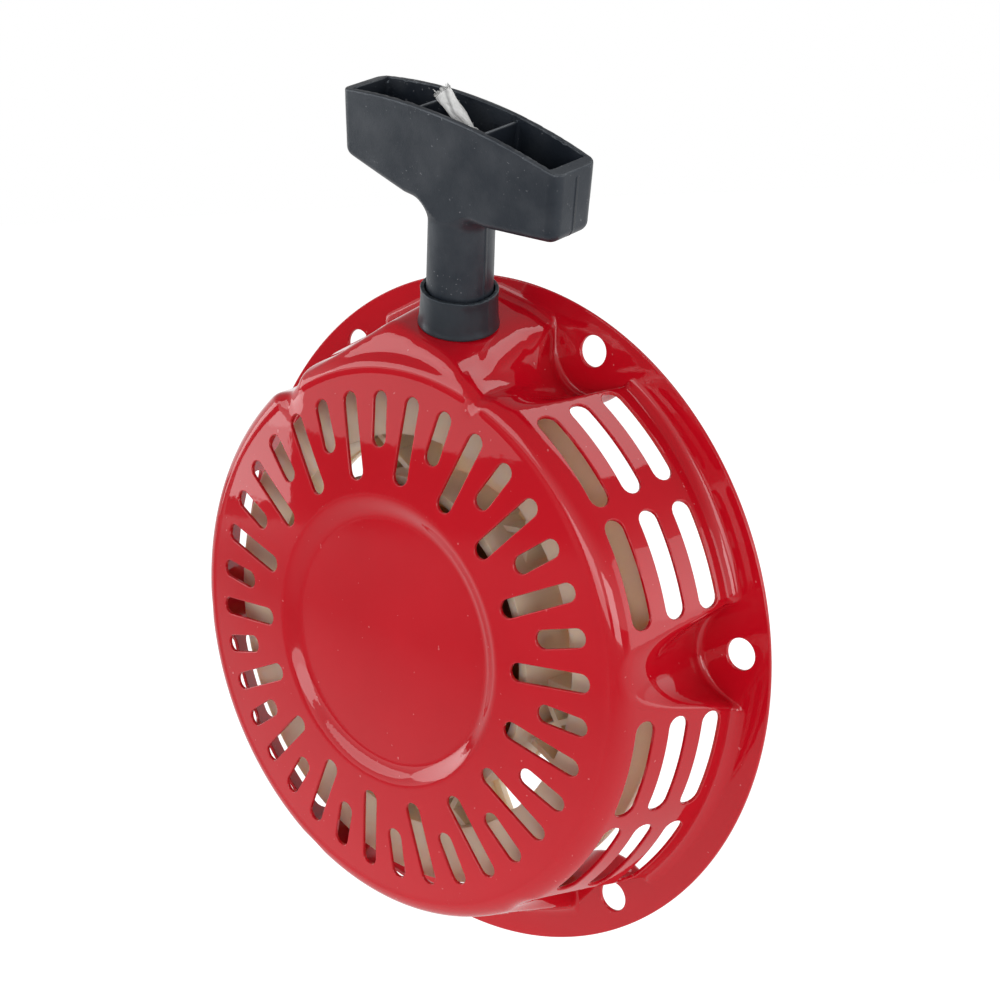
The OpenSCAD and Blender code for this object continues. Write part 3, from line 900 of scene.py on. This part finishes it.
def handle_form(x, y, z):
    """Distance from the handle: a crowned bar with three pockets in its top, on a round stem."""
    share = 1 - (x / BAR_HALF) ** 2
    top = BAR_END_TOP + BAR_CROWN * share
    half = BAR_THICK + BAR_SWELL * share - 0.25 * smoothstep(z, 58.0, 40.0)
    reach = np.abs(x)
    bottom = BAR_FOOT - (BAR_FOOT - BAR_ROOT) * np.clip((BAR_HALF - reach) / BAR_HAUNCH, 0, 1)
    sides = round_both(np.abs(y) - half, reach - BAR_HALF + 0.02 * (57 - z), 3.0)
    bar = round_both(round_both(sides, bottom - z, 2.6), z - top, 0.45)

    # the stem flattens and draws in towards the bar, so that both share one front
    front = np.abs(y) - half - (STEM_R + 1.5 - half) * smoothstep(z, 39.0, 12.0)
    waist = 0.15 * smoothstep(z, 10.0, 34.0) + 1.6 * smoothstep(z, 34.0, 44.0)
    stem = round_both(np.hypot(x, y) - STEM_R + waist, front, 1.5)
    stem = np.maximum(round_both(stem, STEM_FOOT - z, 0.7), z - STEM_TOP)
    solid = round_either(bar, stem, 0.1 + 5.0 * smoothstep(z, 44.0, 38.0))
    solid = np.maximum(solid, front)

    # the bead where the halves of the mould met
    seam = np.hypot(np.abs(y) * 0.55, solid) - 0.16
    solid = np.where(z < 57.5, np.minimum(solid, np.maximum(seam, solid - 0.16)), solid)

    wall = np.abs(y) - (half - BAR_WALL)
    for middle, span, floor_z in BAR_POCKETS:
        pocket = round_both(wall, np.abs(x - middle) - span, 0.9)
        solid = round_both(solid, -round_both(pocket, floor_z - z, 0.9), 0.25)
    # the ribs between the pockets end a little under the rim
    solid = np.maximum(solid, -np.maximum(np.maximum(wall, reach - 35.8), top - 1.3 - z))
    bore = np.maximum(np.hypot(x, y) - 2.8, z - 52.0)
    return np.maximum(solid, -bore)


def lower_and_upper(axis):
    """Slices that give, for each grid edge along an axis, its lower and its upper end."""
    one, two = [slice(None)] * 3, [slice(None)] * 3
    one[axis], two[axis] = slice(0, -1), slice(1, None)
    return tuple(one), tuple(two)


def skin_of(form_of, low, high, step):
    """Closed surface of a form given on a grid: one vertex in each cell that the surface crosses."""
    axes = [np.arange(a, b + step, step) for a, b in zip(low, high)]
    value = form_of(*np.meshgrid(*axes, indexing="ij"))
    inside = value < 0
    total = np.zeros(tuple(n - 1 for n in value.shape) + (3,))
    hits = np.zeros(total.shape[:3])
    cell = [slice(0, -1), slice(1, None)]
    quads = []
    crossings = []
    for axis in range(3):
        one, two = lower_and_upper(axis)
        crossed = inside[one] != inside[two]
        crossings.append(crossed)
        t = np.where(crossed, value[one] / np.where(crossed, value[one] - value[two], 1), 0)
        b, c = [k for k in range(3) if k != axis]
        for p in (0, 1):
            for q in (0, 1):
                pick = [slice(None)] * 3
                pick[b], pick[c] = cell[p], cell[q]
                here = crossed[tuple(pick)]
                hits += here
                total[..., axis] += here * t[tuple(pick)]
                total[..., b] += here * p
                total[..., c] += here * q
    used = hits > 0
    number = -np.ones(used.shape, int)
    number[used] = np.arange(used.sum())
    points = (np.argwhere(used) + total[used] / hits[used][:, None]) * step + np.array(low)
    for axis, crossed in enumerate(crossings):
        b, c = [k for k in range(3) if k != axis]
        at = np.argwhere(crossed)
        at = at[(at[:, [b, c]] > 0).all(1) & (at[:, [b, c]] < np.array(number.shape)[[b, c]]).all(1)]
        step_b, step_c = np.eye(3, dtype=int)[[b, c]]
        ring = [at - step_b - step_c, at - step_c, at, at - step_b]
        quads.append(np.stack([number[tuple(p.T)] for p in ring], -1))
    return points, np.concatenate(quads)


def gradient(form_of, p, step=0.04):
    out = []
    for axis in range(3):
        shift = np.zeros(3)
        shift[axis] = step
        out.append((form_of(*(p + shift).T) - form_of(*(p - shift).T)) / (2 * step))
    return np.stack(out, -1)


def formed_piece(name, form_of, low, high, step):
    """A mesh of a form in the guide frame, drawn onto its surface, with the form's own normals."""
    points, quads = skin_of(form_of, low, high, step)
    for _ in range(4):
        g = gradient(form_of, points)
        size = np.maximum((g * g).sum(-1), 0.2)
        move = (form_of(*points.T) / size)[:, None] * g
        points = points - np.clip(move, -0.4 * step, 0.4 * step)
    normals = unit(gradient(form_of, points))
    one, two, three, four = (points[quads[:, k]] for k in range(4))
    flip = (np.cross(three - one, four - two) * normals[quads].mean(1)).sum(-1) < 0
    quads[flip] = quads[flip][:, ::-1]
    return make_mesh(name, from_guide(points), quads, turn_guide(normals))


def build_handle():
    piece = formed_piece("handle", handle_form, (-41, -11, 4), (41, 11, 66), 0.55)
    finish_piece(piece, MATERIALS["black_plastic"], "handle", "handle_grip")


def smooth_route(route, step):
    """Points at even distances along a curve through the route's points."""
    p = np.asarray(route, float)
    p = np.concatenate([2 * p[:1] - p[1:2], p, 2 * p[-1:] - p[-2:-1]])
    t = np.linspace(0, 1, 40, endpoint=False)[:, None]
    out = []
    for a, b, c, d in zip(p[:-3], p[1:-2], p[2:-1], p[3:]):
        square, cube = 2 * a - 5 * b + 4 * c - d, 3 * b - a - 3 * c + d
        out.append(0.5 * (2 * b + (c - a) * t + square * t**2 + cube * t**3))
    fine = np.concatenate(out + [p[-2:-1]])
    far = np.concatenate([[0], np.cumsum(np.linalg.norm(np.diff(fine, axis=0), axis=1))])
    count = max(2, int(round(far[-1] / step)))
    at = np.linspace(0, far[-1], count + 1)
    return np.stack([np.interp(at, far, fine[:, k]) for k in range(3)], -1), at


def frames_along(line):
    """Two directions across the line at each of its points, without twist."""
    ahead = unit(np.gradient(line, axis=0))
    first = np.cross(ahead[0], (0.3, 0.9, 0.1))
    side = [unit(first)]
    for d in ahead[1:]:
        side.append(unit(side[-1] - (side[-1] @ d) * d))
    side = np.array(side)
    return side, np.cross(ahead, side), ahead


STRANDS = 8  # each way round
LAY = 15.0  # length of rope in which a strand goes once round, in millimetres
LOOSE = 0.3  # share of that twist which is left in the frayed tail


def braid(turn, along):
    """Height of the braid's strands, 0 to 1: two sets that cross over and under each other."""
    u = STRANDS * (turn + along / LAY)
    v = STRANDS * (turn - along / LAY)
    over = 0.5 + 0.5 * np.sin(math.pi * (u - v) / 2)
    return over * np.abs(np.sin(math.pi * u / 2)) + (1 - over) * np.abs(np.sin(math.pi * v / 2))


def tube(line, at, radius, sides=32, bumps=0.0):
    """Points, faces and UVs of a round bar along a line, with braided bumps if wanted."""
    side, up, ahead = frames_along(line)
    turn = np.arange(sides) / sides
    radius = np.broadcast_to(radius, (len(line),))
    r = radius[:, None] * np.ones(sides)
    if bumps:
        r = r - bumps * (1 - braid(turn[None, :], at[:, None]))
    c, n = np.cos(2 * math.pi * turn), np.sin(2 * math.pi * turn)
    out = c[:, None] * side[:, None, :] + n[:, None] * up[:, None, :]
    points = line[:, None, :] + r[..., None] * out
    uvs = np.stack(np.broadcast_arrays(at[:, None], turn[None, :]), -1).reshape(-1, 2)
    rows = len(line)
    index = np.arange(rows * sides).reshape(rows, sides)
    nxt = np.roll(index, -1, axis=1)
    faces = np.stack([index[:-1], nxt[:-1], nxt[1:], index[1:]], -1).reshape(-1, 4).tolist()
    points = points.reshape(-1, 3)
    first, last = line[0] - 0.25 * radius[0] * ahead[0], line[-1] + 0.25 * radius[-1] * ahead[-1]
    start = len(points)
    points = np.concatenate([points, [first, last]])
    uvs = np.concatenate([uvs, [(at[0], 0.5), (at[-1], 0.5)]])
    faces += [(start, b, a) for a, b in zip(index[0], nxt[0])]
    faces += [(start + 1, a, b) for a, b in zip(index[-1], nxt[-1])]
    return points, faces, uvs


def join_parts(parts):
    points, faces, uvs, total = [], [], [], 0
    for p, f, u in parts:
        points.append(p)
        uvs.append(u)
        faces += [tuple(i + total for i in face) for face in f]
        total += len(p)
    return np.concatenate(points), faces, np.concatenate(uvs)


def rope_piece(name, parts, place, body, replaced):
    points, faces, uvs = join_parts(parts)
    piece = make_mesh(name, place(points), faces, uvs=uvs)
    finish_piece(piece, MATERIALS["rope"], body, replaced)


def lean_point(side, out):
    return side * math.cos(LEAN) + out * math.sin(LEAN), out * math.cos(LEAN) - side * math.sin(LEAN)


def millimetres(points):
    return np.asarray(points) * MM


def knot_route(radius):
    """A tight overhand knot as a closed loop."""
    t = np.linspace(0, 2 * math.pi, 61)
    across, up = np.sin(t) + 2 * np.sin(2 * t), np.cos(t) - 2 * np.cos(2 * t)
    return np.stack([across, up, -1.2 * np.sin(3 * t)], -1) * radius / 3


# the rope's way from the drum to the guide: across and outwards in the leaning frame, height
LEAD_ROUTE = ((-50, 55, 24), (-39, 65, 23.6), (-28, 75, 22.8), (-20.5, 81.6, 22), (-17, 85, 21.2))

# radius and height of each turn on the drum: two side by side, then two over them; the end lies between
DRUM_TURNS = 4
LANES_R = np.array((63.55, 63.55, 68.35, 68.35, 68.35))
LANES_H = np.array((21.65, 26.35, 26.35, 21.65, 24.0))
DRUM_START = math.radians(-30)

KNOT_AZIMUTH = math.radians(202.5)
KNOT_R, KNOT_H = 54, 24.0

SPAN_FROM, SPAN_TO = 2.5, 7.5  # between these heights over the seat the drawn rope stretches


def build_lead():
    """The rope from the drum out to the guide."""
    route = []
    for side, out, h in LEAD_ROUTE:
        x, up = lean_point(side, out)
        route.append((x, -h, up))
    route += [tuple(GUIDE[:3, 3] + GUIDE[:3, 2] * z) for z in (-3, 0, 3)]
    line, at = smooth_route(route, 0.55)
    rope_piece("rope_lead_braid", [tube(line, at, ROPE_R, bumps=0.3)], millimetres, "housing", "rope_lead")


def build_turns():
    """The rope wound on the drum; it steps to the next lane in the last part of each turn."""
    turns = np.linspace(0, DRUM_TURNS, DRUM_TURNS * 45 + 1)
    step = smoothstep(turns % 1, 0.93, 1.0)
    lane = np.floor(turns - 1e-9).clip(0, DRUM_TURNS - 1).astype(int)
    r = LANES_R[lane] * (1 - step) + LANES_R[lane + 1] * step
    h = LANES_H[lane] * (1 - step) + LANES_H[lane + 1] * step
    a = DRUM_START + 2 * math.pi * turns
    line, at = smooth_route(np.stack([r * np.sin(a), -h, r * np.cos(a)], -1), 1.1)
    rope_piece("rope_turns", [tube(line, at, ROPE_R - 0.08, 20, 0.25)], millimetres, "reel", "rope_coil")


def build_drum_knot():
    """The knot inside the drum, with the stub that goes out through it."""
    across = np.array((math.cos(KNOT_AZIMUTH), 0, -math.sin(KNOT_AZIMUTH)))
    outward = np.array((math.sin(KNOT_AZIMUTH), 0, math.cos(KNOT_AZIMUTH)))
    centre = outward * KNOT_R + np.array((0, -KNOT_H, 0))
    knot, far = smooth_route(knot_route(2.2), 0.5)
    knot = centre + knot[:, :1] * across + knot[:, 1:2] * np.array((0, 1, 0)) + knot[:, 2:] * outward
    stub, run = smooth_route([centre, centre + outward * 3.4, centre + outward * 6.7], 0.5)
    parts = [tube(knot, far, 1.75, 24, 0.2), tube(stub, run, ROPE_R - 0.1, 24, 0.25)]
    rope_piece("drum_knot", parts, millimetres, "reel", "reel_knot")


def build_handle_rope():
    """The rope through the handle's stem, and the knot that holds it there."""
    line, at = smooth_route([(0, 0, 3), (0, 0, 27), (0, 0, 50.9)], 0.6)
    parts = [tube(line, at, ROPE_R - 0.02, bumps=0.3)]
    rope_piece("handle_rope", parts, from_guide, "handle", "rope_in_handle")
    knot, far = smooth_route(knot_route(2.75) + (0, 0, 55.2), 0.45)
    rope_piece("knot_in_handle", [tube(knot, far, 1.95, 28, 0.22)], from_guide, "handle", "handle_knot")


def build_tail():
    """The cut end of the rope above its knot, with the ends of its fibres loose."""
    route = [(1.2, 0, 56.5), (0.6, -0.1, 58.2), (-1.4, -0.3, 60.6), (-4.4, -0.5, 63.0), (-7.3, -0.7, 65.4)]
    line, at = smooth_route(route, 0.4)
    radius = 2.15 + 0.3 * smoothstep(at, at[-1] - 5, at[-1])
    # the loosened strands lie almost along the rope, so the braid is drawn out
    parts = [tube(line, LOOSE * at, radius, bumps=0.22)]
    side, up, ahead = frames_along(line)

    def outwards(i):
        turn = 2 * math.pi * RNG.random()
        return math.cos(turn) * side[i] + math.sin(turn) * up[i]

    def add_fibre(route, thick, thin, sides):
        strand, run = smooth_route(route, 0.5)
        parts.append(tube(strand, run + 40 * RNG.random(), np.linspace(thick, thin, len(strand)), sides))

    # fibres out of the cut end
    for _ in range(150):
        r = 2.2 * math.sqrt(RNG.random())
        out = outwards(-1)
        foot = line[-1] - 0.4 * ahead[-1] + r * out
        lean = out * RNG.uniform(0.0, 0.35) * (0.3 + r / 2.2) + 0.15 * RNG.normal(size=3)
        tip = foot + (ahead[-1] + lean) * RNG.uniform(0.7, 1.9)
        add_fibre([foot, (foot + tip) / 2 + 0.12 * RNG.normal(size=3), tip], 0.17, 0.07, 5)
    # fibres that stand off its side
    for _ in range(26):
        i = RNG.integers(4, len(line) - 3)
        out = outwards(i)
        foot = line[i] + (radius[i] - 0.1) * out
        tip = foot + out * RNG.uniform(0.2, 0.6) + ahead[i] * RNG.uniform(-0.8, 1.2)
        add_fibre([foot, (foot + tip) / 2 + 0.1 * out, tip], 0.07, 0.03, 4)
    rope_piece("frayed_tail", parts, from_guide, "handle", "rope_tail")


def build_span():
    """The stretch of rope between the guide and the handle, built at rest."""
    line, at = smooth_route([(0, 0, SPAN_FROM - 1), (0, 0, 5), (0, 0, SPAN_TO + 1)], 0.25)
    points, faces, uvs = tube(line, at, ROPE_R - 0.05, bumps=0.2)
    span = make_mesh("rope_span", from_guide(points), faces, uvs=uvs)
    span.data.materials.append(MATERIALS["rope_straight"])
    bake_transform(span)


# Section of the rope guide: (radius, height over its seat) and the rounding of each corner, from the
# bottom of its bore outwards, up its outside and down its inside.
GUIDE_CORNERS = (
    ((3.2, -2.0), 0.3), ((6.0, -4.0), 0.4), ((10.4, -4.0), 0.8), ((10.4, -1.5), 0.1), ((8.5, -1.5), 0.1),
    ((8.5, 0.0), 0.1), ((11.75, 0.0), 0.7), ((11.25, 2.0), 1.2), ((10.85, 8.8), 1.5), ((11.05, 11.5), 0.45),
    ((9.85, 11.5), 0.3), ((9.8, 5.5), 0.5), ((3.2, 5.5), 0.4),
)
GUIDE_SIDES = 144


def guide_profile():
    """The guide's section with its corners rounded."""
    out = []
    for k, (corner, r) in enumerate(GUIDE_CORNERS):
        here = np.array(corner)
        ends = []
        for other in (GUIDE_CORNERS[k - 1][0], GUIDE_CORNERS[(k + 1) % len(GUIDE_CORNERS)][0]):
            side = np.array(other) - here
            ends.append(here + unit(side) * min(r, 0.45 * np.linalg.norm(side)))
        for t in np.linspace(0, 1, 5):
            out.append((1 - t) ** 2 * ends[0] + 2 * t * (1 - t) * here + t * t * ends[1])
    return np.array(out)


def build_guide():
    ring = guide_profile()
    a = np.linspace(0, 2 * math.pi, GUIDE_SIDES, endpoint=False)
    r, z = (np.repeat(v[:, None], GUIDE_SIDES, 1) for v in ring.T)
    # its outside is a little uneven, its rim a little ragged, and a moulding line runs up each side
    outside = smoothstep(r, 9.9, 10.6) * smoothstep(z, -0.5, 1.0)
    r = r + outside * (0.05 * np.sin(3 * a + 1.2) + 0.03 * np.sin(7 * a) + 0.02 * np.sin(17 * a + z))
    ragged = 0.09 * np.sin(5 * a + 0.4) + 0.05 * np.sin(13 * a + 2.0) + 0.04 * np.sin(29 * a)
    z = z + smoothstep(z, 10.2, 11.4) * (ragged - 0.12)
    for seam in (0, math.pi):
        r = r + outside * 0.14 * np.exp(-((np.sin((a - seam) / 2) * 2 * 11 / 0.35) ** 2))
    points = np.stack([r * np.cos(a), r * np.sin(a), z], -1).reshape(-1, 3)
    index = np.arange(len(ring) * GUIDE_SIDES).reshape(len(ring), GUIDE_SIDES)
    down, right = np.roll(index, -1, 0), np.roll(index, -1, 1)
    faces = np.stack([index, right, np.roll(down, -1, 1), down], -1).reshape(-1, 4)
    piece = make_mesh("rope_bush", from_guide(points), faces)
    finish_piece(piece, MATERIALS["guide_rubber"], "housing", "rope_guide")


# ---------------------------------------------------------------- scene

MATERIALS = {
    "red_paint": paint_material(),
    "black_plastic": plastic_material(),
    "guide_rubber": rubber_material(),
    "natural_nylon": nylon_material(),
    "post_steel": steel_material("post_steel", (0.50, 0.50, 0.50), (0.62, 0.62, 0.62), 0.25, 0.4, True),
    "zinc_steel": steel_material("zinc_steel", (0.58, 0.58, 0.56), (0.70, 0.70, 0.68), 0.3, 0.45),
    "spring_steel": steel_material("spring_steel", (0.20, 0.21, 0.23), (0.32, 0.33, 0.35), 0.25, 0.4),
    "pawl_steel": steel_material("pawl_steel", (0.30, 0.30, 0.31), (0.42, 0.42, 0.43), 0.4, 0.55),
    "rope": rope_material("rope"),
    "rope_straight": rope_material("rope_straight", True),
}

add_camera()
bpy.context.scene.view_settings.view_transform = "Standard"
add_world()
for box in SOFT_BOXES:
    add_area(*box)

slots = {s["node"]: s["material_slot"] for s in frame["record"]["subparts"]}
for node, piece in frame["nodes"].items():
    piece.data.materials.clear()
    piece.data.materials.append(MATERIALS[slots[node]])

build_housing()
build_handle()
build_guide()
build_lead()
build_turns()
build_drum_knot()
build_handle_rope()
build_tail()
build_span()

bpy.ops.mesh.primitive_plane_add(size=FLOOR_SIZE, location=(0, 0, FLOOR_Z))
floor = bpy.context.object
floor.name = "floor"
floor.data.materials.append(floor_material())
